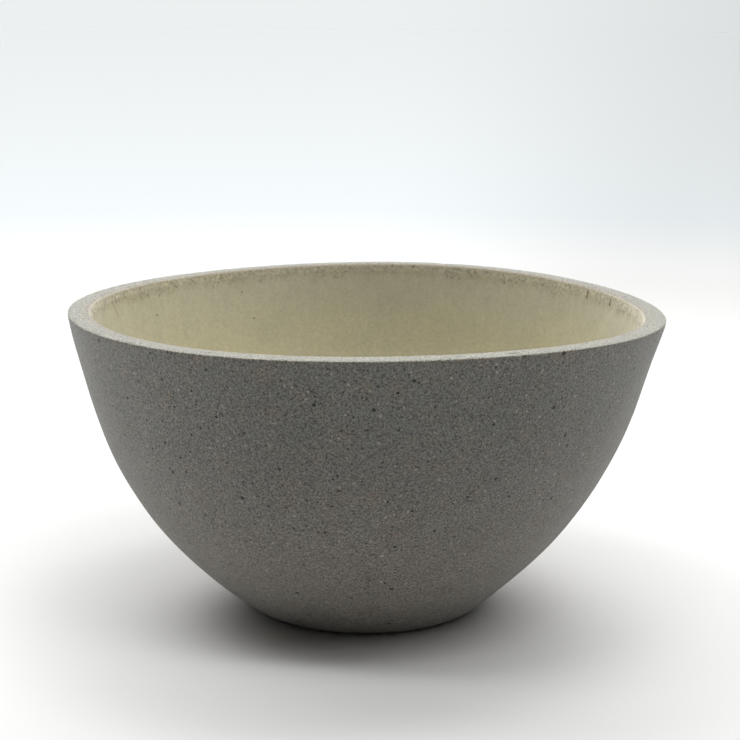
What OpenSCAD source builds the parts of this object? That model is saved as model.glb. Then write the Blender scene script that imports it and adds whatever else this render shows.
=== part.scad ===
// Hand-made stoneware bowl: a bare clay shell with a flat rim, and a thin coat of glaze on its inside.
// Millimetres, +Z up, origin at the middle of the base, on the surface that the bowl stands on.

/* [Bowl] */
// Diameter of the rim, where the wall's outside would meet the flat top but for the soft edge
rim_diameter = 150; // [140:1:190]
// Height from the base to the flat top of the rim
bowl_height = 77; // [62:1:88]
// Diameter of the flat base that touches the table
base_diameter = 56; // [42:1:68]

/* [Wall] */
// Slope of the straight upper wall, in degrees from the vertical
wall_slope = 15; // [8:1:19]
// Height of the straight upper wall, measured down from the rim
straight_height = 20; // [8:1:26]
// Thickness of the clay wall, square to its faces
wall_thickness = 5.4; // [4:0.2:8]
// Thickness of the clay floor
floor_thickness = 7; // [4:0.5:12]
// Radius of the inside curve between wall and floor
floor_curve = 25; // [12:1:34]

/* [Edges] */
// Radius of the two soft edges of the rim
rim_edge = 0.9; // [0.4:0.1:1.6]
// Radius of the soft edge of the base
base_edge = 3; // [1:0.5:6]

/* [Glaze] */
// Thickness of the glaze coat
glaze_thickness = 0.4; // [0.2:0.1:0.8]
// Bare wall between the rim's soft inner edge and the glaze
bare_band = 0.2; // [0:0.1:6]

/* [Hidden] */
$fn = 144;
wall_steps = 32;
edge_steps = 6;

// The section is drawn on one side of the axis, with points as [distance from the axis, height].
// A heading of 0 degrees points straight out, 90 points down and -90 points up.
function heading(angle) = [cos(angle), -sin(angle)];
function heading_of(v) = atan2(-v.y, v.x);
function arc(centre, radius, from, to, steps) =
    [for (i = [0:steps]) centre + radius * heading(from + (to - from) * i / steps)];
function backwards(points) = [for (i = [len(points) - 1:-1:0]) points[i]];

// Outside of the wall: straight below the rim, then one arc that runs smoothly into the soft edge of the base.
rim_corner = [rim_diameter / 2, bowl_height];
straight_end = rim_corner - straight_height * [tan(wall_slope), 1];
base_edge_centre = [base_diameter / 2, base_edge];
arc_span = straight_end - base_edge_centre;
arc_radius = (arc_span * arc_span - base_edge ^ 2) / (2 * (arc_span * heading(wall_slope) - base_edge));
arc_centre = straight_end - arc_radius * heading(wall_slope);
base_slope = heading_of(base_edge_centre - arc_centre);

// Inside of the wall: parallel to the outside, then a curve into the flat floor.
inner_radius = arc_radius - wall_thickness;
floor_curve_height = floor_thickness + floor_curve;
floor_curve_reach = sqrt((inner_radius - floor_curve) ^ 2 - (floor_curve_height - arc_centre.y) ^ 2);
floor_curve_centre = [arc_centre.x + floor_curve_reach, floor_curve_height];
floor_slope = heading_of(floor_curve_centre - arc_centre);

// Soft edges of the rim: each circle touches the flat top and one face of the wall.
function wall_x(depth, z) = rim_corner.x - depth / cos(wall_slope) - (bowl_height - z) * tan(wall_slope);
rim_edge_height = bowl_height - rim_edge;
outer_edge_centre = [wall_x(rim_edge, rim_edge_height), rim_edge_height];
inner_edge_centre = [wall_x(wall_thickness - rim_edge, rim_edge_height), rim_edge_height];
glaze_top = rim_edge_height - bare_band;

// The inside face from the straight wall down to the middle of the floor.
// At a depth of 0 it is the clay's face, and at glaze_thickness the face of the glaze.
function inside_face(depth) = concat(
    arc(arc_centre, inner_radius - depth, wall_slope, floor_slope, wall_steps),
    arc(floor_curve_centre, floor_curve - depth, floor_slope, 90, wall_steps),
    [[0, floor_thickness + depth]]
);

// The fired clay shell: flat base, curved wall, straight flare and flat bare rim.
module clay_body() {
    color("#74726b")
        rotate_extrude()
            polygon(concat(
                [[0, 0]],
                arc(base_edge_centre, base_edge, 90, base_slope, edge_steps),
                arc(arc_centre, arc_radius, base_slope, wall_slope, wall_steps),
                arc(outer_edge_centre, rim_edge, wall_slope, -90, edge_steps),
                arc(inner_edge_centre, rim_edge, -90, wall_slope - 180, edge_steps),
                inside_face(0)
            ));
}

// The glaze coat fused to the inside of the clay.
module glaze_lining() {
    color("#c9c1a0")
        rotate_extrude()
            polygon(concat(
                backwards(inside_face(0)),
                [[wall_x(wall_thickness, glaze_top), glaze_top]],
                [[wall_x(wall_thickness + glaze_thickness, glaze_top), glaze_top]],
                inside_face(glaze_thickness)
            ));
}

clay_body();
glaze_lining();
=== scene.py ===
"""Dresses a hand-made stoneware bowl: speckled bare clay, cream glaze inside, and a pale studio."""

import math

import bpy
import numpy as np
from bpy.props import FloatProperty, FloatVectorProperty, IntProperty, PointerProperty
from bpy.types import Operator, Panel, PropertyGroup
from mathutils import Matrix, Vector


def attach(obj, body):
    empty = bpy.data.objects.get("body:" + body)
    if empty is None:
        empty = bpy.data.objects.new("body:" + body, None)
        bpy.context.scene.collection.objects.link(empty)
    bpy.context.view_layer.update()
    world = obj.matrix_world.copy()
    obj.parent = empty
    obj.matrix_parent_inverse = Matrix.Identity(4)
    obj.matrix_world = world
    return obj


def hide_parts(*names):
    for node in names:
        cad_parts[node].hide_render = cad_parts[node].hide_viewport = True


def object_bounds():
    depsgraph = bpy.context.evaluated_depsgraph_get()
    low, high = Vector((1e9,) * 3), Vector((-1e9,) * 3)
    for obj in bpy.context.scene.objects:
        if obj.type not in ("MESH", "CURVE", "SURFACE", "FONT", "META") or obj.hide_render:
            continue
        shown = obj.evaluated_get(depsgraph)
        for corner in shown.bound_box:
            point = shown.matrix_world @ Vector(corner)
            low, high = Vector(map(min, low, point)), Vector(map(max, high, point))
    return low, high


bl_info = {
    "name": "Stoneware Bowl",
    "version": (1, 0, 0),
    "blender": (4, 5, 0),
    "location": "3D View > Sidebar > Bowl",
    "description": "Dresses a stoneware bowl in speckled clay and cream glaze, and lights it",
    "category": "Object",
}

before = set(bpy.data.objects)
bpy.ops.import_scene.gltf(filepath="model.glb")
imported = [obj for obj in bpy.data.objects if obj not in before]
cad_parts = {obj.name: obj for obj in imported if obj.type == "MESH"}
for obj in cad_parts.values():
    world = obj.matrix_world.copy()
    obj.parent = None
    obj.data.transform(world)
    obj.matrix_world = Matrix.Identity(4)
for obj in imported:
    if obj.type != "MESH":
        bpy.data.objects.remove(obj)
CAD_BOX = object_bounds()
MM = 0.001
FULL_TURN = 2 * math.pi
BOWL_HEIGHT = CAD_BOX[1].z
RIM_RADIUS = CAD_BOX[1].x


def from_srgb(*levels):
    """A colour as seen, in levels of 0 to 255, as the linear values that a shader takes."""
    shares = [level / 255 for level in levels]
    return tuple(s / 12.92 if s <= 0.04045 else ((s + 0.055) / 1.055) ** 2.4 for s in shares)


# Sizes, colours and light that a user would change


def colour_prop(name, description, *levels):
    """A colour, given in levels of 0 to 255."""
    return FloatVectorProperty(
        name=name, description=description, default=from_srgb(*levels), subtype="COLOR", min=0, max=1
    )


def length_prop(name, description, millimetres):
    """A length."""
    return FloatProperty(
        name=name, description=description, default=millimetres * MM, unit="LENGTH", precision=5
    )


def light_prop(name, description, strength):
    """A strength of light."""
    return FloatProperty(name=name, description=description, default=strength, min=0, max=20)


class BowlShape(PropertyGroup):
    """How far the thrown bowl strays from a true round."""

    segments: IntProperty(
        name="Segments", description="Steps round the bowl, a multiple of 4", default=576, min=96, max=720
    )
    lean: length_prop("Lean", "How far the rim stands to one side of the base", 0.655)
    rim_wave: FloatProperty(
        name="Rim wave",
        description="Share of the rim's rise and fall that shows",
        default=1,
        min=0,
        max=3,
        subtype="FACTOR",
    )
    dents: length_prop("Dents", "Depth of the hand's soft dents in the wall", 0.06)
    crumbs: length_prop("Crumbs", "Depth of the crumbled places along the rim's outer edge", 0.1)
    glaze_wave: length_prop("Glaze wave", "Rise and fall of the glaze's upper border", 0.2)


class ClayFinish(PropertyGroup):
    """Colours of the bare clay."""

    wall: colour_prop("Wall", "Clay of the wall", 99, 98, 92)
    # Lighter, warmer clay low on the wall: partly the clay's own warmer tone, partly painted light that lifts
    # the shade on the lower wall.
    foot_and_painted_light: colour_prop("Foot", "Warmer clay low on the wall", 118, 112, 102)
    warm: colour_prop("Warm patches", "Brownish patches in the wall", 107, 99, 89)
    rim: colour_prop("Rim", "Pale wiped clay of the rim", 147, 145, 132)
    speck: colour_prop("Specks", "Small dark grains in the clay", 41, 38, 35)
    pale: colour_prop("Pale grains", "Small pale grains in the clay", 170, 164, 150)
    iron: colour_prop("Iron spots", "Burnt spots of iron", 9, 8, 7)
    # A warm line under the rim's outer edge: partly the clay's own toasted colour, partly painted shade on
    # the rounded edge, which faces up into the light.
    toast_and_painted_shade: colour_prop("Toasted edge", "Warm line under the rim's outer edge", 104, 91, 77)
    blush: colour_prop("Blush", "Warm clay along the rim's inner edge", 142, 129, 111)


class GlazeFinish(PropertyGroup):
    """Colours of the glaze."""

    cream: colour_prop("Cream", "Coat of glaze on the upper wall", 206, 202, 181)
    straw: colour_prop("Straw", "Thicker, yellower glaze lower down", 209, 203, 174)
    thin: colour_prop("Thin band", "Thin glaze under the rim, with the clay showing through", 188, 182, 158)
    blotch: colour_prop("Blotches", "Grey-brown blotches under the rim", 144, 138, 116)
    border: colour_prop("Border", "Warm upper border of the glaze", 164, 152, 130)
    speck: colour_prop("Specks", "Pin specks in the glaze", 84, 68, 50)
    burn: colour_prop("Burnt marks", "Short brown marks under the rim", 118, 84, 38)


class StudioSetup(PropertyGroup):
    """Floor, light and camera."""

    floor: colour_prop("Floor", "Pale floor round the bowl", 238, 238, 237)
    # The middle and far floor carry painted shade: the floor darkens away from the bowl, standing in for
    # light that falls off there.
    shaded_middle_floor: colour_prop("Middle floor", "Floor behind the bowl", 221, 226, 228)
    shaded_far_floor: colour_prop("Far floor", "Floor furthest away", 211, 214, 214)
    backdrop: colour_prop("Backdrop", "Pale room behind the floor", 236, 240, 240)
    front_light: light_prop("Front boxes", "Light from the softboxes overhead, toward the front", 10.6)
    rear_light: light_prop("Rear boxes", "Light from the softboxes overhead, toward the back", 7.5)
    back_light: light_prop("Back light", "Light from the white wall behind the bowl", 5.5)
    left_light: light_prop("Left light", "Light from the panel behind the bowl on the left", 1.0)
    slant_light: light_prop("Slant light", "Light from the softbox high on the right", 3.45)
    lens: FloatProperty(name="Lens", description="Focal length of the camera", default=82.15, unit="CAMERA")


# Shape: the CAD section turned into a fine mesh, with the small faults of the hand

RING_GAP = 0.02 * MM  # grid on which the CAD model's rings are told apart
LINE_STEPS = 6000  # steps in which a line's spacing is added up
PIN_HOLE = 0.4 * MM  # radius of the small fan that closes a turned mesh on the axis
CALM_RADIUS = 20 * MM  # middle of the base and of the floor, which has no dents
DENT_RISE = 0.25  # share of the height in which the dents grow to their full depth
PUSH_START, PUSH_WIDTH = 11.2 * MM, 14 * MM  # radius where the hand's marks begin, and how fast they grow
# Waves round the rim: how many, and their cosine and sine height in mm
RIM_WAVES = ((1, -0.04, 0.065), (2, -0.585, 0.09), (3, -0.385, -0.035))
RIM_OVAL = -0.0021  # share of the radius by which the rim is pulled into an oval
# Where the hand drew the wet wall out or in: turn and width in degrees, height, reach and push in mm
HAND_MARKS = (
    (0, 42, 77, 15, 0.55),
    (180, 42, 78, 6, -0.5),
    (180, 42, 31, 13, 0.26),
    (180, 42, 10, 6, -0.4),
    (-50, 50, 1, 5, 1.5),
)
# Chips in the rim: turn and width in degrees, depth in mm
RIM_NICKS = ((-63.7, 0.9, 0.5), (-118, 1.1, 0.3), (72, 1.0, 0.35))
EDGE_DEPTH = 1.13 * MM  # height of the soft outer edge of the rim
EDGE_RUN_UP = 4  # rings of straight wall below that edge, which give its slope
CRISPNESS = 0.6  # how far that edge is drawn out toward a sharp corner
WEAR_DEPTH, WEAR_REACH = 0.35 * MM, 0.5 * MM  # where the worn edge lies below the rim, and its half width
WEAR_LEAST = 0.2  # how high the edge's noise has to be before clay crumbles there
WEAR_DROP = 0.5  # share of a crumbled place's depth that also lowers the edge
# The map for the bake, from 0 to 1 each way
QUARTERS = 4
MAP_MARGIN = 0.006  # share of each quarter turn's patch that is left free round it
FAN_PLACES, FAN_REACH = ((0.01, 0.99), (0.03, 0.99)), 0.008


def run_along(points):
    """How far each point of a line lies from its start, along the line."""
    return np.append(0, np.cumsum(np.linalg.norm(np.diff(points, axis=0), axis=1)))


def read_line(points, run, wanted):
    """Points on a line at the wanted runs."""
    return np.column_stack([np.interp(wanted, run, column) for column in points.T])


def turns_round(segments):
    """Even turns round the bowl, in radians."""
    return np.arange(segments) / segments * FULL_TURN


def degrees_from(heading, turn):
    """How far each turn lies from a heading, either way round, in degrees."""
    return np.degrees(np.angle(np.exp(1j * (turn - math.radians(heading)))))


def ring_at(section, test):
    """Number of the first ring that passes the test."""
    return int(np.argmax(test(section[:, 0], section[:, 1])))


def section_of(node):
    """The node's half section as (radius, height) points, in the order in which its rings follow."""
    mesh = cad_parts[node].data
    places = np.empty(len(mesh.vertices) * 3)
    mesh.vertices.foreach_get("co", places)
    places = places.reshape(-1, 3)
    half = np.column_stack((np.hypot(places[:, 0], places[:, 1]), places[:, 2]))
    steps, step_of = np.unique(np.round(half / RING_GAP).astype(int), axis=0, return_inverse=True)
    rings, ring_of_step = [], []
    for step in steps:
        near = [i for i, ring in enumerate(rings) if abs(ring - step).max() <= 1]
        if not near:
            near = [len(rings)]
            rings.append(step)
        ring_of_step.append(near[0])
    ring_of = np.array(ring_of_step)[step_of.reshape(-1)]
    ends = np.empty(len(mesh.edges) * 2, dtype=int)
    mesh.edges.foreach_get("vertices", ends)
    neighbours = {i: set() for i in range(len(rings))}
    for a, b in np.unique(ring_of[ends].reshape(-1, 2), axis=0):
        if a != b:
            neighbours[a].add(b)
            neighbours[b].add(a)
    tips = [i for i in neighbours if len(neighbours[i]) == 1]
    if len(tips) != 2:
        raise RuntimeError(f"{node}: the section has {len(tips)} ends instead of 2")
    chain = [min(tips, key=lambda i: tuple(rings[i][::-1]))]
    while True:
        onward = neighbours[chain[-1]] - set(chain)
        if not onward:
            break
        chain.append(onward.pop())
    if len(chain) != len(rings):
        raise RuntimeError(f"{node}: {len(rings) - len(chain)} rings are left out of the section")
    return np.array([half[ring_of == i].mean(axis=0) for i in chain])


def cut_corners(points, rounds=2):
    """The same line with its corners cut, so that it runs smoothly."""
    for _ in range(rounds):
        a, b = points[:-1], points[1:]
        between = np.stack((0.75 * a + 0.25 * b, 0.25 * a + 0.75 * b), axis=1).reshape(-1, 2)
        points = np.vstack((points[:1], between, points[-1:]))
    return points


def spread(points, spacing_at):
    """Points along the line, as far apart as spacing_at says for each place on it."""
    run = run_along(points)
    line = read_line(points, run, np.linspace(0, run[-1], LINE_STEPS + 1))
    density = np.append(0, np.cumsum(run[-1] / LINE_STEPS / spacing_at(line)[1:]))
    return read_line(line, density, np.linspace(0, density[-1], math.ceil(density[-1]) + 1))


def crisp_rim(rings):
    """The same rings with the rim's soft outer edge drawn out toward its corner."""
    start = ring_at(rings, lambda r, z: z > BOWL_HEIGHT - EDGE_DEPTH)
    flat = ring_at(rings, lambda r, z: z > BOWL_HEIGHT - RING_GAP)
    slope = rings[start] - rings[start - EDGE_RUN_UP]
    corner = rings[start] + slope * (BOWL_HEIGHT - rings[start, 1]) / slope[1]
    run = run_along(rings)
    way = np.clip((run - run[start]) / (run[flat] - run[start]), 0, 1)
    return rings + CRISPNESS * np.sin(math.pi * way)[:, None] ** 2 * (corner - rings)


def soft_noise(seed, waves, longest, shortest):
    """A smooth random height, about -1 to 1, over the turn and the height, made of even waves."""
    draw = np.random.default_rng(seed)
    girth = RIM_RADIUS * FULL_TURN
    length = np.exp(draw.uniform(math.log(shortest), math.log(longest), waves))
    heading = draw.uniform(0, FULL_TURN, waves)
    round_count = np.round(np.cos(heading) * girth / length)
    up = np.sin(heading) * FULL_TURN / length
    phase = draw.uniform(0, FULL_TURN, waves)

    def height_at(turn, z):
        total = np.zeros(np.broadcast(turn, z).shape)
        for n, k, p in zip(round_count, up, phase):
            total += np.cos(n * turn + k * z + p)
        return total / math.sqrt(waves)

    return height_at


# Each has its own seed, its number of waves, and its longest and shortest wave
hand_dents = soft_noise(11, 18, 45 * MM, 14 * MM)
edge_crumbs = soft_noise(12, 40, 5 * MM, 1.6 * MM)
glaze_border = soft_noise(13, 16, 26 * MM, 4 * MM)
glaze_flow = soft_noise(14, 22, 22 * MM, 5 * MM)


def hand_made(shape, radius, z, turn):
    """Where points of the true section stand on the thrown bowl, with its uneven rim, lean and dents."""
    lift = np.clip(z / BOWL_HEIGHT, 0, 1)
    wave = sum(c * np.cos(n * turn) + s * np.sin(n * turn) for n, c, s in RIM_WAVES)
    z_made = z + wave * MM * shape.rim_wave * lift**2
    r_made = radius * (1 + RIM_OVAL * shape.rim_wave * np.sin(2 * turn) * lift)
    dented = np.minimum(1, lift / DENT_RISE) * (radius > CALM_RADIUS)
    r_made = r_made + shape.dents * hand_dents(turn, z) * dented
    outward = np.clip((radius - PUSH_START) / PUSH_WIDTH, 0, 1) * MM
    for heading, width, height, reach, push in HAND_MARKS:
        aside = degrees_from(heading, turn) / width
        above = (z / MM - height) / reach
        r_made = r_made + push * outward * np.exp(-(aside**2) - above**2)
    return np.stack((r_made * np.cos(turn) + shape.lean * lift, r_made * np.sin(turn), z_made), axis=-1)


def turned_mesh(name, places, below, strips):
    """A closed mesh from rings of places, which also keeps how far below the rim each place lies."""
    rings, segments = places.shape[:2]
    vertices = np.vstack((places.reshape(-1, 3), places[[0, -1]].mean(axis=1)))
    here = np.arange(segments)
    after = np.roll(here, -1)
    ring = np.arange(rings - 1)[:, None] * segments
    above = ring + segments
    quads = np.stack((ring + here, ring + after, above + after, above + here), axis=-1)
    top, centre = (rings - 1) * segments, rings * segments
    first_fan = np.stack((after, here, np.full(segments, centre)), axis=-1)
    last_fan = np.stack((top + here, top + after, np.full(segments, centre + 1)), axis=-1)
    corners = np.concatenate([faces.reshape(-1) for faces in (quads, first_fan, last_fan)])
    sides = np.repeat((4, 3), ((rings - 1) * segments, 2 * segments))
    mesh = bpy.data.meshes.new(name)
    mesh.vertices.add(len(vertices))
    mesh.vertices.foreach_set("co", vertices.reshape(-1))
    mesh.loops.add(len(corners))
    mesh.loops.foreach_set("vertex_index", corners)
    mesh.polygons.add(len(sides))
    mesh.polygons.foreach_set("loop_start", np.append(0, np.cumsum(sides)[:-1]))
    mesh.polygons.foreach_set("use_smooth", np.ones(len(sides), dtype=bool))
    mesh.update(calc_edges=True)
    below = np.broadcast_to(below, (rings, segments))
    drop = mesh.attributes.new("below_rim", "FLOAT", "POINT")
    drop.data.foreach_set("value", np.append(below.reshape(-1), below[[0, -1], 0]))
    lay_map(mesh, places, strips)
    mesh.validate()
    return mesh


def lay_map(mesh, places, strips):
    """Lays the map for the bake: each strip of rings fills its band with quarter turns, so many in a row."""
    rings, segments = places.shape[:2]
    i, j = np.meshgrid(np.arange(rings - 1), np.arange(segments), indexing="ij")
    u = np.stack((j, j + 1, j + 1, j), axis=-1).astype(float)
    v = np.stack((i, i, i + 1, i + 1), axis=-1)
    run = run_along(places[:, 0])
    quarter = segments // QUARTERS
    inner = 1 - 2 * MAP_MARGIN
    spot = np.zeros((rings - 1, segments, 4, 2))
    for start, stop, columns, low, high in strips:
        part = slice(start, stop)
        cell = j[part, :, None] // quarter
        tall = (high - low) * columns / QUARTERS
        across = (u[part] - cell * quarter) / quarter
        along = (run[v[part]] - run[start]) / (run[stop] - run[start])
        spot[part, ..., 0] = (cell % columns + MAP_MARGIN + across * inner) / columns
        spot[part, ..., 1] = low + (cell // columns + MAP_MARGIN + along * inner) * tall
    turn = turns_round(segments)
    edge = np.stack((np.cos(turn), np.sin(turn)), axis=-1) * FAN_REACH
    fan = np.stack((edge, np.roll(edge, -1, axis=0), np.zeros_like(edge)), axis=1)
    fans = np.stack([fan + centre for centre in FAN_PLACES])
    layer = mesh.uv_layers.new(name="OFBake")
    layer.data.foreach_set("uv", np.concatenate((spot.reshape(-1), fans.reshape(-1))))


def add_piece(name, mesh, material, node):
    """Puts a finished mesh on the bowl, in place of a CAD node."""
    piece = bpy.data.objects.new(name, mesh)
    mesh.materials.append(material)
    bpy.context.collection.objects.link(piece)
    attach(piece, "root")
    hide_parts(node)


# Finishes: small node tools, the effects that both finishes share, and the two materials

SINGLE_VALUES = ("DISTANCE", "DOT_PRODUCT", "LENGTH")  # vector steps that put out one value
SPECK_CORE, DOT_CORE, STREAK_CORE = 0.55, 0.65, 0.3  # share of a mark's reach that has its full colour
OUTLINE_BEND, BEND_FINENESS = 0.3, 2.4  # how far a speck's outline is bent, in mm, and how finely
SMALLEST_SPECK, SPECK_SPREAD = 0.5, 0.8  # reach of the smallest speck, and how much larger others are


def place(tree, kind, inputs=None, **settings):
    """Adds a node, with its settings, values and links."""
    made = tree.nodes.new("ShaderNode" + kind)
    for key, value in settings.items():
        setattr(made, key, value)
    for key, value in (inputs or {}).items():
        if isinstance(value, bpy.types.NodeSocket):
            tree.links.new(value, made.inputs[key])
        else:
            made.inputs[key].default_value = value
    return made


def reckon(tree, operation, *values, clamp=False):
    """One step of arithmetic."""
    return place(tree, "Math", dict(enumerate(values)), operation=operation, use_clamp=clamp).outputs[0]


def steer(tree, operation, *vectors):
    """One step of vector arithmetic."""
    made = place(tree, "VectorMath", dict(enumerate(vectors)), operation=operation)
    return made.outputs["Value" if operation in SINGLE_VALUES else "Vector"]


def scaled(tree, vector, factor):
    """A vector made longer or shorter."""
    return place(tree, "VectorMath", {0: vector, "Scale": factor}, operation="SCALE").outputs["Vector"]


def times(tree, value, *others):
    """The product of the values."""
    for other in others:
        value = reckon(tree, "MULTIPLY", value, other)
    return value


def add_up(tree, total, *parts):
    """A value with parts added to it, each times its weight."""
    for part, weight in parts:
        total = reckon(tree, "MULTIPLY_ADD", part, weight, total)
    return total


def ramp(tree, value, low, high, to_low=0.0, to_high=1.0):
    """A smooth change from to_low to to_high, as the value goes from low to high."""
    inputs = {"Value": value, "From Min": low, "From Max": high, "To Min": to_low, "To Max": to_high}
    return place(tree, "MapRange", inputs, interpolation_type="SMOOTHSTEP", clamp=True).outputs[0]


def between(tree, mask, off, on):
    """The value off where the mask is 0, and the value on where it is 1."""
    return ramp(tree, mask, 0.0, 1.0, off, on)


def tint(tree, factor, a, b, blend_type="MIX"):
    """Colour a, taken over by colour b as the factor goes to 1."""
    a, b = (x if isinstance(x, bpy.types.NodeSocket) else (*x, 1.0) for x in (a, b))
    settings = {"data_type": "RGBA", "blend_type": blend_type, "clamp_factor": True}
    return place(tree, "Mix", {0: factor, 6: a, 7: b}, **settings).outputs[2]


def shade(tree, colour, value):
    """The colour made lighter or darker by a value."""
    grey = place(tree, "CombineColor", {0: value, 1: value, 2: value}).outputs[0]
    return tint(tree, 1.0, colour, grey, "MULTIPLY")


def part_of(tree, vector, axis):
    """One of a vector's three values."""
    return place(tree, "SeparateXYZ", {0: vector}).outputs[axis]


def effect(name, outputs, **inputs):
    """An empty node group. Returns its tree, its inputs, a place among them, and a way to set its outputs."""
    tree = bpy.data.node_groups.new(name, "ShaderNodeTree")
    for key, value in {"Place": (0, 0, 0), **inputs}.items():
        kind = "NodeSocketVector" if isinstance(value, tuple) else "NodeSocketFloat"
        tree.interface.new_socket(key, in_out="INPUT", socket_type=kind).default_value = value
    for key in outputs:
        tree.interface.new_socket(key, in_out="OUTPUT", socket_type="NodeSocketFloat")
    given = tree.nodes.new("NodeGroupInput").outputs
    result = tree.nodes.new("NodeGroupOutput").inputs
    return tree, given, lambda key, socket: tree.links.new(socket, result[key])


def specks_effect():
    """Specks strewn through the body: each cell may hold one, of its own size and shade. In mm."""
    tree, given, put = effect("Specks", ("Mask", "Chance"), Spacing=1.0, Share=0.3, Size=0.4)
    scale = reckon(tree, "DIVIDE", 1.0, given["Spacing"])
    noise = place(tree, "TexNoise", {"Vector": given["Place"], "Scale": BEND_FINENESS, "Detail": 1.0})
    bend = steer(tree, "SUBTRACT", noise.outputs["Color"], (0.5, 0.5, 0.5))
    where = steer(tree, "ADD", given["Place"], scaled(tree, bend, OUTLINE_BEND))
    settings = {"voronoi_dimensions": "3D", "feature": "F1"}
    cells = place(tree, "TexVoronoi", {"Vector": where, "Scale": scale}, **settings).outputs
    chances = place(tree, "SeparateColor", {0: cells["Color"]}).outputs
    held = reckon(tree, "LESS_THAN", chances[0], given["Share"])
    size = add_up(tree, SMALLEST_SPECK, (chances[1], SPECK_SPREAD))
    reach = times(tree, given["Size"], size, scale)
    put("Mask", times(tree, held, ramp(tree, cells["Distance"], reach, times(tree, reach, SPECK_CORE))))
    put("Chance", chances[2])
    return tree


def even_noise(tree, where, size, **inputs):
    """Smooth noise from -1 to 1, of a size in mm."""
    inputs = {"Vector": where, "Scale": reckon(tree, "DIVIDE", 1.0, size), **inputs}
    return add_up(tree, -1.0, (place(tree, "TexNoise", inputs).outputs[0], 2.0))


def grain_effect():
    """Fine sandy grain, from -1 to 1."""
    tree, given, put = effect("Grain", ("Value",), Size=0.5, Harsh=0.5)
    put("Value", even_noise(tree, given["Place"], given["Size"], Detail=1.0, Roughness=given["Harsh"]))
    return tree


def clouds_effect():
    """Slow uneven tone, from -1 to 1, with a stretch along the height."""
    tree, given, put = effect("Clouds", ("Value",), Size=20.0, Stretch=1.0)
    height = reckon(tree, "DIVIDE", 1.0, given["Stretch"])
    squeeze = place(tree, "CombineXYZ", {0: 1.0, 1: 1.0, 2: height}).outputs[0]
    where = steer(tree, "MULTIPLY", given["Place"], squeeze)
    put("Value", even_noise(tree, where, given["Size"], Detail=3.0, Roughness=0.55))
    return tree


def dot_effect():
    """One round dot at a given place. In mm."""
    tree, given, put = effect("Dot", ("Mask",), Centre=(0, 0, 0), Reach=0.5)
    gap = steer(tree, "DISTANCE", given["Place"], given["Centre"])
    put("Mask", ramp(tree, gap, given["Reach"], times(tree, given["Reach"], DOT_CORE)))
    return tree


EFFECTS = {"Specks": specks_effect, "Grain": grain_effect, "Clouds": clouds_effect, "Dot": dot_effect}


def use(tree, name, spot, **values):
    """Places a shared effect in a material, with its own values. The effect is built when first wanted."""
    group = bpy.data.node_groups.get(name) or EFFECTS[name]()
    return place(tree, "Group", {"Place": spot, **values}, node_tree=group).outputs


def dots(tree, spot, marks):
    """A mask of round dots, from lists of places of one reach, in mm."""
    mask = 0.0
    for reach, centres in marks:
        for centre in centres:
            dot = use(tree, "Dot", spot, Centre=centre, Reach=reach)["Mask"]
            mask = reckon(tree, "MAXIMUM", dot, mask)
    return mask


def streak(tree, spot, start, end, reach):
    """A mask of a thin line from start to end, in mm."""
    start, end = Vector(start), Vector(end)
    span = end - start
    aside = steer(tree, "SUBTRACT", spot, start)
    along = steer(tree, "DOT_PRODUCT", aside, span / span.length_squared)
    share = reckon(tree, "MULTIPLY", along, 1.0, clamp=True)
    gap = steer(tree, "DISTANCE", aside, scaled(tree, span, share))
    return ramp(tree, gap, reach, reach * STREAK_CORE)


def new_finish(name):
    """An empty material. Returns it, its tree, its shader, and the place and the drop below the rim in mm."""
    material = bpy.data.materials.new(name)
    material.use_nodes = True
    tree = material.node_tree
    tree.nodes.clear()
    shader = place(tree, "BsdfPrincipled")
    tree.links.new(shader.outputs[0], place(tree, "OutputMaterial").inputs[0])
    spot = scaled(tree, place(tree, "TexCoord").outputs["Object"], 1 / MM)
    drop = place(tree, "Attribute", attribute_name="below_rim").outputs["Fac"]
    return material, tree, shader, spot, reckon(tree, "DIVIDE", drop, MM)


def dress(tree, shader, colour, roughness, relief, depth, strength, **plain):
    """Gives the shader its colour, roughness, bump and plain values."""
    bump = place(tree, "Bump", {"Height": relief, "Strength": strength, "Distance": depth}).outputs[0]
    for key, socket in (("Base Color", colour), ("Roughness", roughness), ("Normal", bump)):
        tree.links.new(socket, shader.inputs[key])
    for key, value in plain.items():
        shader.inputs[key.replace("_", " ")].default_value = value


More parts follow.
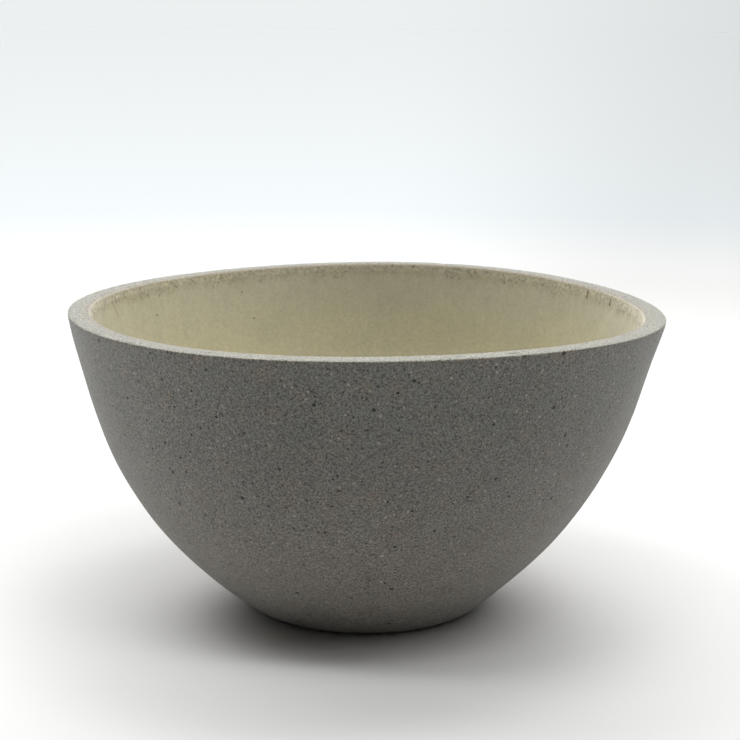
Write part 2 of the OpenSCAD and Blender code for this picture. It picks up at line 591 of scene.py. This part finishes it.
# Marks that this one bowl carries. Spots are listed as a reach and the places of that size, all in mm
IRON_SPOTS = (
    (0.68, ((7.3, -48.8, 18.3), (6.9, -35.5, 4.9))),
    (0.58, (
        (44.2, -61.0, 76.8), (-26.5, -58.7, 42.9), (-43.0, -49.9, 46.3), (-14.8, -44.6, 15.7),
        (44.2, -45.4, 39.5), (63.5, -37.5, 68.7), (-42.0, -45.6, 37.7), (-60.3, -42.4, 75.4),
        (42.7, -57.9, 63.9),
    )),
    (0.5, (
        (2.7, -72.0, 66.3), (11.2, -73.1, 73.0), (7.8, -58.3, 31.5), (46.1, -52.4, 56.2),
        (-53.5, -46.1, 62.8), (-10.1, -71.5, 67.2), (46.9, -50.5, 53.4), (-44.4, -52.1, 53.8),
    )),
    (0.42, (
        (28.9, -65.0, 61.6), (16.6, -58.7, 35.4), (23.8, -60.8, 44.0), (11.4, -63.0, 41.3),
        (7.8, -72.8, 70.2), (-31.7, -63.2, 62.5), (30.0, -59.9, 48.0), (-8.0, -60.4, 35.4),
        (-40.8, -53.7, 50.7), (-44.2, -57.5, 69.6), (33.5, -55.5, 42.7), (-47.8, -47.7, 51.3),
        (-39.6, -53.0, 47.2),
    )),
    (0.38, (
        (-46.7, -57.3, 75.5), (-33.6, -65.5, 73.5), (-41.5, -57.6, 63.4), (-35.5, -60.2, 59.3),
        (-37.2, -61.8, 68.0), (-37.7, -58.2, 57.2),
    )),
)
PALE_GRAINS = ((0.42, ((4.9, -57.0, 28.9), (4.8, -51.2, 20.8))),)
PIN_SPECKS = (
    (0.5, ((61.5, 32.6, 75.5), (65.9, 21.4, 74.0))),
    (0.36, ((-56.5, 34.6, 68.0), (-31.3, 57.1, 63.4), (-34.8, 57.6, 70.9), (14.9, 67.7, 77.2))),
)
# Streaks in the glaze, as both ends, reach and strength
STREAKS = (
    ((61.5, 32.7, 75.8), (61.2, 32.0, 74.0), 0.5, 0.8),
    ((66.3, 22.3, 75.3), (65.9, 21.4, 74.0), 0.5, 0.8),
    ((-65.9, 15.3, 74.8), (-64.6, 17.0, 70.8), 0.45, 0.3),
)
PAINTED_LIGHT_PATCHES = (((-54, -50, 60), 1.22), ((26, -67, 64), 0.95))  # painted light that makes the front-left of the wall paler, and painted shade that darkens its front right
PAINTED_PATCH_REACH = (42.0, 8.0)  # distances from such a place where it begins and where it is in full
PAINTED_SHADE_CENTRE, PAINTED_SHADE_REACH = (9, 66, 69), (0.0, 88.0)  # painted shade: the glaze is darker round this place on the far inner wall
PAINTED_SHADE_TONES = (0.69, 1.085)  # tone of the glaze there, in painted shade, and the lighter tone far from it

# Clay: its patterns, in mm
DARK_SPECKS = {"Spacing": 1.1, "Share": 0.45, "Size": 0.36}
PITS = {"Spacing": 2.6, "Share": 0.4, "Size": 0.46}
PALE_SPECKS = {"Spacing": 1.7, "Share": 0.4, "Size": 0.36}
LOOSE_IRON = {"Spacing": 5.5, "Share": 0.15, "Size": 0.42}
# Clay: where its bands begin and where they are in full, in mm below the rim, or less than 0 in across it
RAGGED_BAND, RIM_BAND, TOAST_AND_SHADE_BAND, BLUSH_BAND = (0.05, 0.35), (0.34, 0.2), (0.9, 0.35), (-2.4, -4.4)
FOOT_BAND = (66.0, 0.0)  # in mm above the floor; the band of warmer clay and painted light low on the wall
TOAST_AND_SHADE_SHARE, BLUSH_SHARE, PALE_SHARE = 0.45, 0.75, 0.5  # how strongly these show
WALL_GRAIN, RIM_GRAIN = 1.56, 1.75  # how strongly the fine grain shows on the wall and on the rim

# Glaze: its patterns, in mm
PIN_SCATTER = {"Spacing": 8.5, "Share": 0.12, "Size": 0.45}
FAINT_SPECKS = {"Spacing": 1.6, "Share": 0.3, "Size": 0.42}
# Glaze: where its bands begin and where they are in full, in mm below the rim
DEEP_BAND, THIN_BAND, BLOTCH_BAND, BORDER_BAND = (3.0, 27.0), (4.8, 0.8), (4.4, 0.6), (0.9, 0.05)
BLOTCH_SHARE, PIN_SHARE, FAINT_SHARE = 0.9, 0.7, 0.1  # how strongly these show


def clay_material(clay):
    """Bare speckled clay, with a pale wiped rim, and painted light and shade on its wall."""
    material, tree, shader, spot, drop = new_finish("speckled_clay")
    slow, patch, warm = (use(tree, "Clouds", spot, Size=size)["Value"] for size in (24.0, 6.0, 4.5))
    fine = use(tree, "Grain", spot, Size=0.45, Harsh=0.7)["Value"]
    crumb = use(tree, "Grain", spot, Size=1.2, Harsh=0.6)["Value"]
    ragged = add_up(tree, times(tree, crumb, 0.24), (fine, 0.15))
    edge = add_up(tree, drop, (ragged, ramp(tree, drop, *RAGGED_BAND)))
    rim = ramp(tree, edge, *RIM_BAND)
    # Lighter, warmer clay low on the wall: partly the clay's own warmer tone, partly painted light that lifts
    # the shade on the lower wall.
    colour = tint(tree, ramp(tree, part_of(tree, spot, "Z"), *FOOT_BAND), clay.wall, clay.foot_and_painted_light)
    colour = shade(tree, colour, add_up(tree, 1.0, (slow, 0.10), (patch, 0.06)))
    colour = tint(tree, ramp(tree, warm, -0.05, 0.4, 0.0, 0.8), colour, clay.warm)
    # Painted light and shade: the front-left of the wall is made paler and its front right darker, as light
    # falls there.
    for centre, change in PAINTED_LIGHT_PATCHES:
        gap = steer(tree, "DISTANCE", spot, centre)
        colour = shade(tree, colour, ramp(tree, gap, *PAINTED_PATCH_REACH, 1.0, change))
    # A warm line under the rim's outer edge: partly the clay's own toasted colour, partly painted shade on
    # the rounded edge, which faces up into the light.
    colour = tint(tree, times(tree, ramp(tree, edge, *TOAST_AND_SHADE_BAND), TOAST_AND_SHADE_SHARE), colour, clay.toast_and_painted_shade)
    colour = tint(tree, rim, colour, clay.rim)
    blush = ramp(tree, add_up(tree, drop, (crumb, 1.6)), *BLUSH_BAND)
    colour = tint(tree, times(tree, blush, BLUSH_SHARE), colour, clay.blush)
    colour = shade(tree, colour, add_up(tree, 1.0, (fine, between(tree, rim, WALL_GRAIN, RIM_GRAIN))))
    dark = use(tree, "Specks", spot, **DARK_SPECKS)
    dark = times(tree, dark["Mask"], between(tree, dark["Chance"], 0.15, 0.95), between(tree, rim, 1.0, 0.6))
    pits = use(tree, "Specks", spot, **PITS)
    pits = times(tree, pits["Mask"], between(tree, pits["Chance"], 0.3, 1.0), between(tree, rim, 1.0, 0.15))
    dark = reckon(tree, "MAXIMUM", dark, pits)
    colour = tint(tree, dark, colour, clay.speck)
    pale = use(tree, "Specks", spot, **PALE_SPECKS)["Mask"]
    grains = reckon(tree, "MAXIMUM", times(tree, pale, PALE_SHARE), dots(tree, spot, PALE_GRAINS))
    colour = tint(tree, grains, colour, clay.pale)
    iron = use(tree, "Specks", spot, **LOOSE_IRON)["Mask"]
    colour = tint(tree, reckon(tree, "MAXIMUM", iron, dots(tree, spot, IRON_SPOTS)), colour, clay.iron)
    roughness = add_up(tree, 0.78, (fine, 0.08))
    relief = add_up(tree, fine, (dark, -1.0), (pale, 0.5))
    dress(
        tree, shader, colour, roughness, relief, depth=0.1 * MM, strength=0.7,
        Specular_IOR_Level=0.5, Sheen_Weight=0.28, Sheen_Roughness=0.5,
    )
    return material


def glaze_material(glaze):
    """Satin cream glaze, thin and mottled under the rim, yellower below, with faint runs down the wall and
    painted shade on the far inner wall.
    """
    material, tree, shader, spot, drop = new_finish("cream_glaze")
    slow, patch, blotch = (use(tree, "Clouds", spot, Size=size)["Value"] for size in (16.0, 7.0, 1.0))
    runs = use(tree, "Clouds", spot, Size=3.0, Stretch=5.0)["Value"]
    mottle = use(tree, "Clouds", spot, Size=2.2, Stretch=1.3)["Value"]
    fine = use(tree, "Grain", spot, Size=0.8, Harsh=0.6)["Value"]
    deep = ramp(tree, add_up(tree, drop, (slow, 9.0)), *DEEP_BAND)
    colour = tint(tree, deep, glaze.cream, glaze.straw)
    shift = add_up(tree, drop, (mottle, 2.5))
    thin = ramp(tree, shift, *THIN_BAND)
    colour = tint(tree, thin, colour, glaze.thin)
    upper = ramp(tree, add_up(tree, shift, (patch, 4.0)), *BLOTCH_BAND)
    blotches = times(tree, ramp(tree, blotch, 0.0, 0.42), upper)
    colour = tint(tree, times(tree, blotches, BLOTCH_SHARE), colour, glaze.blotch)
    grain = between(tree, upper, 0.15, 0.6)
    tone = add_up(tree, 1.0, (slow, 0.09), (runs, 0.05), (mottle, 0.09), (fine, grain))
    # Painted shade: the glaze darkens round a place on the far inner wall, and is a little lighter far from
    # it.
    aside = steer(tree, "DISTANCE", spot, PAINTED_SHADE_CENTRE)
    colour = shade(tree, colour, times(tree, tone, ramp(tree, aside, *PAINTED_SHADE_REACH, *PAINTED_SHADE_TONES)))
    border = ramp(tree, add_up(tree, drop, (mottle, 0.5), (blotch, 0.8)), *BORDER_BAND)
    broken = times(tree, ramp(tree, patch, -0.3, 0.3, 0.5, 0.9), between(tree, blotches, 1.0, 0.4))
    colour = tint(tree, times(tree, border, broken), colour, glaze.border)
    pins = use(tree, "Specks", spot, **PIN_SCATTER)["Mask"]
    pins = reckon(tree, "MAXIMUM", pins, dots(tree, spot, PIN_SPECKS))
    colour = tint(tree, times(tree, pins, PIN_SHARE), colour, glaze.speck)
    for start, end, reach, share in STREAKS:
        colour = tint(tree, times(tree, streak(tree, spot, start, end, reach), share), colour, glaze.burn)
    faint = use(tree, "Specks", spot, **FAINT_SPECKS)["Mask"]
    colour = tint(tree, times(tree, faint, FAINT_SHARE), colour, glaze.speck)
    roughness = add_up(tree, 0.5, (mottle, 0.05), (thin, 0.12))
    relief = add_up(tree, fine, (mottle, 0.6), (pins, -1.0))
    dress(
        tree, shader, colour, roughness, relief, depth=0.05 * MM, strength=0.18,
        Specular_IOR_Level=0.4,
    )
    return material


# Operators: one for each piece, and one for the studio

# Gaps between the rings of the clay, and where they change
RIM_GAP, WALL_GAP, HIDDEN_GAP, BASE_GAP = 0.2 * MM, 1.05 * MM, 4.5 * MM, 6 * MM
RIM_ZONE, RIM_STRIP = 2.2 * MM, 1.6 * MM  # how far below the rim its fine rings and its strip of the map go
BASE_MIDDLE, BASE_SOFTNESS = 26 * MM, 0.5 * MM


def clay_spacing(line):
    """Gaps between the clay's rings: fine at the rim, and wide on the base and under the glaze."""
    r, z = line.T
    step, peak = np.arange(len(line)), np.argmax(z)
    near_rim = z > BOWL_HEIGHT - RIM_ZONE
    base = (r < BASE_MIDDLE) & (step < peak)
    return np.select((near_rim, base, step > peak), (RIM_GAP, BASE_GAP, HIDDEN_GAP), WALL_GAP)


class BowlClay(Operator):
    """Builds the fired clay shell with its flat base, curved wall and bare rim"""

    bl_idname = "bowl.clay_body"
    bl_label = "Clay Body"

    def execute(self, context):
        shape = context.scene.bowl_shape
        section = section_of("clay_body")
        base, floor = section[0], section[-1]
        line = np.vstack(([PIN_HOLE, base[1]], cut_corners(section), [PIN_HOLE, floor[1]]))
        rings = crisp_rim(spread(line, clay_spacing))
        turn = turns_round(shape.segments)
        below = BOWL_HEIGHT - rings[:, 1]
        top = int(np.argmax(rings[:, 1]))
        run = run_along(rings)
        flat = ring_at(rings, lambda r, z: z > BOWL_HEIGHT - RING_GAP)
        drop = np.where(run > run[flat], run[flat] - run, below)
        worn = np.exp(-(((below - WEAR_DEPTH) / WEAR_REACH) ** 2))
        worn[top:] = 0
        crumble = np.maximum(0, edge_crumbs(turn, 0) - WEAR_LEAST) * shape.crumbs
        for heading, width, depth in RIM_NICKS:
            crumble = crumble + depth * MM * np.exp(-((degrees_from(heading, turn) / width) ** 2))
        bite = crumble * worn[:, None]
        places = hand_made(shape, rings[:, :1] - bite, rings[:, 1:] - WEAR_DROP * bite, turn)
        base_end = ring_at(rings, lambda r, z: r > base[0] - BASE_SOFTNESS)
        wall_end = ring_at(rings, lambda r, z: z > BOWL_HEIGHT - RIM_STRIP)
        rim_end = top + ring_at(rings[top:], lambda r, z: z < BOWL_HEIGHT - RIM_STRIP)
        # First and last ring of each strip of the map, quarter turns in a row, lower and upper border
        strips = (
            (0, base_end, 4, 0.95, 0.975),
            (base_end, wall_end, 2, 0.0, 0.84),
            (wall_end, rim_end, 2, 0.85, 0.93),
            (rim_end, len(rings) - 1, 4, 0.935, 0.948),
        )
        mesh = turned_mesh("clay_body", places, drop[:, None], strips)
        finish = clay_material(context.scene.bowl_clay)
        add_piece("bowl_clay", mesh, finish, "clay_body")
        return {"FINISHED"}


GLAZE_EDGE = 0.05 * MM  # how far below the rim the glaze begins
LINE_GAP = 0.05 * MM  # gap between the points of the clay's inner line
EDGE_ZONE, EDGE_GAP = 3 * MM, 0.24 * MM  # fine rings at the glaze's upper border
FACE_GAP, FLOOR_RINGS = 1 * MM, 10  # rings on the rest of its face
BACK_START, BACK_SHARE = 2 * MM, 3  # its back starts its wide rings here, and has one fine ring in three
WAVE_FADE = 5 * MM  # run in which the border's rise and fall dies away
COAT_RUN, COAT_LEAST = 2.6 * MM, 0.02 * MM  # run in which the coat grows thick, and its thinnest
FLOW_RUN, FLOW_DEPTH, FLOW_STRETCH = 6 * MM, 0.05 * MM, 0.4  # soft runs of thicker glaze


class BowlGlaze(Operator):
    """Builds the glaze coat on the inside, which thins out over the soft inner edge of the rim"""

    bl_idname = "bowl.glaze_lining"
    bl_label = "Glaze Lining"

    def execute(self, context):
        shape = context.scene.bowl_shape
        clay, coat = section_of("clay_body"), section_of("glaze_lining")
        thickness = coat[-1, 1] - coat[0, 1]
        rim_inside = int(np.flatnonzero(clay[:, 1] > BOWL_HEIGHT - RING_GAP)[-1])
        inside = np.vstack((clay[rim_inside:], [PIN_HOLE, clay[-1, 1]]))
        inside = spread(cut_corners(inside), lambda line: np.full(len(line), LINE_GAP))
        ahead = np.gradient(inside, axis=0)
        ahead /= np.hypot(*ahead.T)[:, None]
        inward = np.column_stack((ahead[:, 1], -ahead[:, 0]))
        run = run_along(inside)
        end = run[-1]
        start = run[ring_at(inside, lambda r, z: z < BOWL_HEIGHT - GLAZE_EDGE)]
        middle = run[ring_at(inside, lambda r, z: r < CALM_RADIUS)]
        fine = start + np.arange(0, EDGE_ZONE, EDGE_GAP)
        wall = np.arange(fine[-1] + FACE_GAP, middle, FACE_GAP)
        front = np.concatenate((fine, wall, np.linspace(middle, end, FLOOR_RINGS)))
        hidden = np.arange(fine[-1] + BACK_START, end, HIDDEN_GAP)
        back = np.concatenate((fine[::BACK_SHARE], hidden, [end]))[::-1]
        turn = turns_round(shape.segments)[None, :]
        along = np.concatenate((back, front))[:, None]
        on_front = (np.arange(len(along)) >= len(back))[:, None]
        fade = np.clip(1 - (along - start) / WAVE_FADE, 0, 1)
        along = along + fade * shape.glaze_wave * (1 + glaze_border(turn, along * 0)) * 0.5
        r, z, in_r, in_z = (np.interp(along, run, column) for column in (*inside.T, *inward.T))
        rise = np.clip((along - start) / COAT_RUN, 0, 1)
        flowing = np.clip((along - start) / FLOW_RUN, 0, 1) * (r > CALM_RADIUS)
        flow = FLOW_DEPTH * glaze_flow(turn, z * FLOW_STRETCH) * flowing
        coat_here = on_front * (COAT_LEAST + thickness * rise * rise * (3 - 2 * rise) + flow)
        places = hand_made(shape, r + in_r * coat_here, z + in_z * coat_here, turn)
        # First and last ring of each strip of the map, quarter turns in a row, lower and upper border
        strips = (
            (0, len(back) - 1, 4, 0.95, 0.975),
            (len(back) - 1, len(along) - 1, 2, 0.0, 0.94),
        )
        mesh = turned_mesh("glaze_lining", places, BOWL_HEIGHT - z, strips)
        finish = glaze_material(context.scene.bowl_glaze)
        add_piece("bowl_glaze", mesh, finish, "glaze_lining")
        return {"FINISHED"}


CAMERA_PLACE = (0.655 * MM, -423.1 * MM, 147.6 * MM)
CAMERA_PAN, CAMERA_PITCH, CAMERA_ROLL = 0.0033, -0.2038, 0.0075  # in radians
SENSOR_WIDTH = 36  # in mm
NEAREST_VIEW = 0.01
FLOOR_RADIUS, FLOOR_CORNERS = 30.0, 96
FLOOR_FADE = (0.55, 0.95)  # distances from the bowl, in metres, between which painted shade darkens the floor
RIGHT_FADE = 0.16  # how much painted shade darkens the far floor and the room toward the right
RIGHT_REACH = 0.28  # how far to the right they are darkest, for each metre away
RIGHT_START = (0.3, 0.6)  # distances from the bowl, in metres, where that begins and where it is in full
# Large soft panels: their light, the way toward them and how narrow their glow is
PANELS = (
    ("back_light", (0, 0.95, 0.3), 8),
    ("left_light", (-0.5, 0.75, 0.45), 8),
    ("slant_light", (0.45, -0.33, 0.83), 30),
)
# Softboxes under the ceiling: their light, their half size, and where each hangs, to the right and back,
# for each metre up, with its share of the light
CEILING_BOXES = (
    ("front_light", (0.25, 0.07), ((0.2, -0.33, 0.92), (-0.2, -0.22, 1.09), (-0.6, -0.11, 0.66))),
    ("rear_light", (0.25, 0.12), ((-0.6, 0.25, 0.8), (0.2, 0.25, 1.2))),
)
LOWEST_RISE = 0.02  # headings lower than this count as this high under the ceiling


class BowlStudio(Operator):
    """Lays the pale floor, sets the soft lights and places the camera"""

    bl_idname = "bowl.studio"
    bl_label = "Studio"

    def execute(self, context):
        scene = context.scene
        studio = scene.bowl_studio
        scene.view_settings.view_transform = "Standard"
        self.lay_floor(context, studio)
        self.light_room(scene, studio)
        self.place_camera(context, studio)
        return {"FINISHED"}

    def lay_floor(self, context, studio):
        mesh = bpy.data.meshes.new("floor")
        turns = turns_round(FLOOR_CORNERS)
        ring = [(FLOOR_RADIUS * math.cos(a), FLOOR_RADIUS * math.sin(a), 0) for a in turns]
        mesh.from_pydata(ring, [], [range(len(ring))])
        material = bpy.data.materials.new("pale_floor")
        material.use_nodes = True
        tree = material.node_tree
        shader = tree.nodes["Principled BSDF"]
        spot = place(tree, "TexCoord").outputs["Object"]
        away = steer(tree, "LENGTH", spot)
        # Painted shade: the floor darkens with distance from the bowl.
        nearness = reckon(tree, "DIVIDE", FLOOR_FADE[1], away, clamp=True)
        colour = tint(tree, nearness, studio.shaded_far_floor, studio.shaded_middle_floor)
        colour = tint(tree, ramp(tree, away, *FLOOR_FADE), studio.floor, colour)
        # Painted shade: the far floor darkens toward the right.
        aside = reckon(tree, "DIVIDE", part_of(tree, spot, "X"), away)
        dim = times(tree, ramp(tree, aside, 0.0, RIGHT_REACH), ramp(tree, away, *RIGHT_START))
        colour = shade(tree, colour, add_up(tree, 1.0, (dim, -RIGHT_FADE)))
        tree.links.new(colour, shader.inputs["Base Color"])
        shader.inputs["Roughness"].default_value = 0.9
        shader.inputs["Specular IOR Level"].default_value = 0.0
        mesh.materials.append(material)
        floor = bpy.data.objects.new("floor", mesh)
        context.collection.objects.link(floor)

    def light_room(self, scene, studio):
        world = bpy.data.worlds.new("light_tent")
        world.use_nodes = True
        tree = world.node_tree
        tree.nodes.clear()
        heading = place(tree, "TexCoord").outputs["Generated"]
        total = 0.0
        for key, facing, narrowness in PANELS:
            toward = reckon(tree, "MAXIMUM", steer(tree, "DOT_PRODUCT", heading, facing), 0.0)
            total = add_up(tree, total, (reckon(tree, "POWER", toward, narrowness), getattr(studio, key)))
        rise = reckon(tree, "MAXIMUM", part_of(tree, heading, "Z"), LOWEST_RISE)
        ceiling = scaled(tree, heading, reckon(tree, "DIVIDE", 1.0, rise))
        for key, half_size, boxes in CEILING_BOXES:
            for x, y, share in boxes:
                gap = steer(tree, "SUBTRACT", ceiling, (x, y, 1))
                gap = steer(tree, "LENGTH", steer(tree, "DIVIDE", gap, (*half_size, 1)))
                glow = reckon(tree, "EXPONENT", times(tree, reckon(tree, "POWER", gap, 2.0), -1.0))
                total = add_up(tree, total, (glow, getattr(studio, key) * share))
        light = place(tree, "Background", {"Color": (1, 1, 1, 1), "Strength": total}).outputs[0]
        # Painted shade: the room behind the floor darkens toward the right.
        dim = ramp(tree, part_of(tree, heading, "X"), 0.0, RIGHT_REACH, 1.0, 1 - RIGHT_FADE)
        backdrop = shade(tree, studio.backdrop, dim)
        pale = place(tree, "Background", {"Color": backdrop, "Strength": 1.0}).outputs[0]
        path = place(tree, "LightPath").outputs
        seen = reckon(tree, "MAXIMUM", path["Is Glossy Ray"], path["Is Transmission Ray"])
        seen = reckon(tree, "MAXIMUM", path["Is Camera Ray"], seen)
        both = place(tree, "MixShader", {0: seen, 1: light, 2: pale}).outputs[0]
        tree.links.new(both, place(tree, "OutputWorld").inputs["Surface"])
        scene.world = world

    def place_camera(self, context, studio):
        ahead = Vector((
            math.sin(CAMERA_PAN) * math.cos(CAMERA_PITCH),
            math.cos(CAMERA_PAN) * math.cos(CAMERA_PITCH),
            math.sin(CAMERA_PITCH),
        ))
        right = ahead.cross((0, 0, 1)).normalized()
        up = right.cross(ahead)
        right, up = (
            math.cos(CAMERA_ROLL) * right + math.sin(CAMERA_ROLL) * up,
            math.cos(CAMERA_ROLL) * up - math.sin(CAMERA_ROLL) * right,
        )
        data = bpy.data.cameras.new("camera")
        data.lens = studio.lens
        data.sensor_fit = "HORIZONTAL"
        data.sensor_width = SENSOR_WIDTH
        data.clip_start = NEAREST_VIEW
        camera = bpy.data.objects.new("camera", data)
        turned = Matrix((right, up, -ahead)).transposed()
        camera.matrix_world = Matrix.Translation(CAMERA_PLACE) @ turned.to_4x4()
        context.collection.objects.link(camera)
        context.scene.camera = camera


class BowlPanel(Panel):
    """Lists the bowl's settings and the steps that build it"""

    bl_idname = "VIEW3D_PT_stoneware_bowl"
    bl_label = "Stoneware Bowl"
    bl_space_type = "VIEW_3D"
    bl_region_type = "UI"
    bl_category = "Bowl"

    def draw(self, context):
        for group in GROUPS:
            box = self.layout.box()
            settings = getattr(context.scene, group)
            for key in settings.__annotations__:
                box.prop(settings, key)
        for step in STEPS:
            self.layout.operator(step.bl_idname)


GROUPS = {
    "bowl_shape": BowlShape,
    "bowl_clay": ClayFinish,
    "bowl_glaze": GlazeFinish,
    "bowl_studio": StudioSetup,
}
STEPS = (BowlClay, BowlGlaze, BowlStudio)
CLASSES = (*GROUPS.values(), *STEPS, BowlPanel)


def register():
    for made in CLASSES:
        bpy.utils.register_class(made)
    for key, group in GROUPS.items():
        setattr(bpy.types.Scene, key, PointerProperty(type=group))


def unregister():
    for key in GROUPS:
        delattr(bpy.types.Scene, key)
    for made in reversed(CLASSES):
        bpy.utils.unregister_class(made)


def main():
    register()
    bpy.ops.bowl.clay_body()
    bpy.ops.bowl.glaze_lining()
    bpy.ops.bowl.studio()


if __name__ == "__main__":
    main()
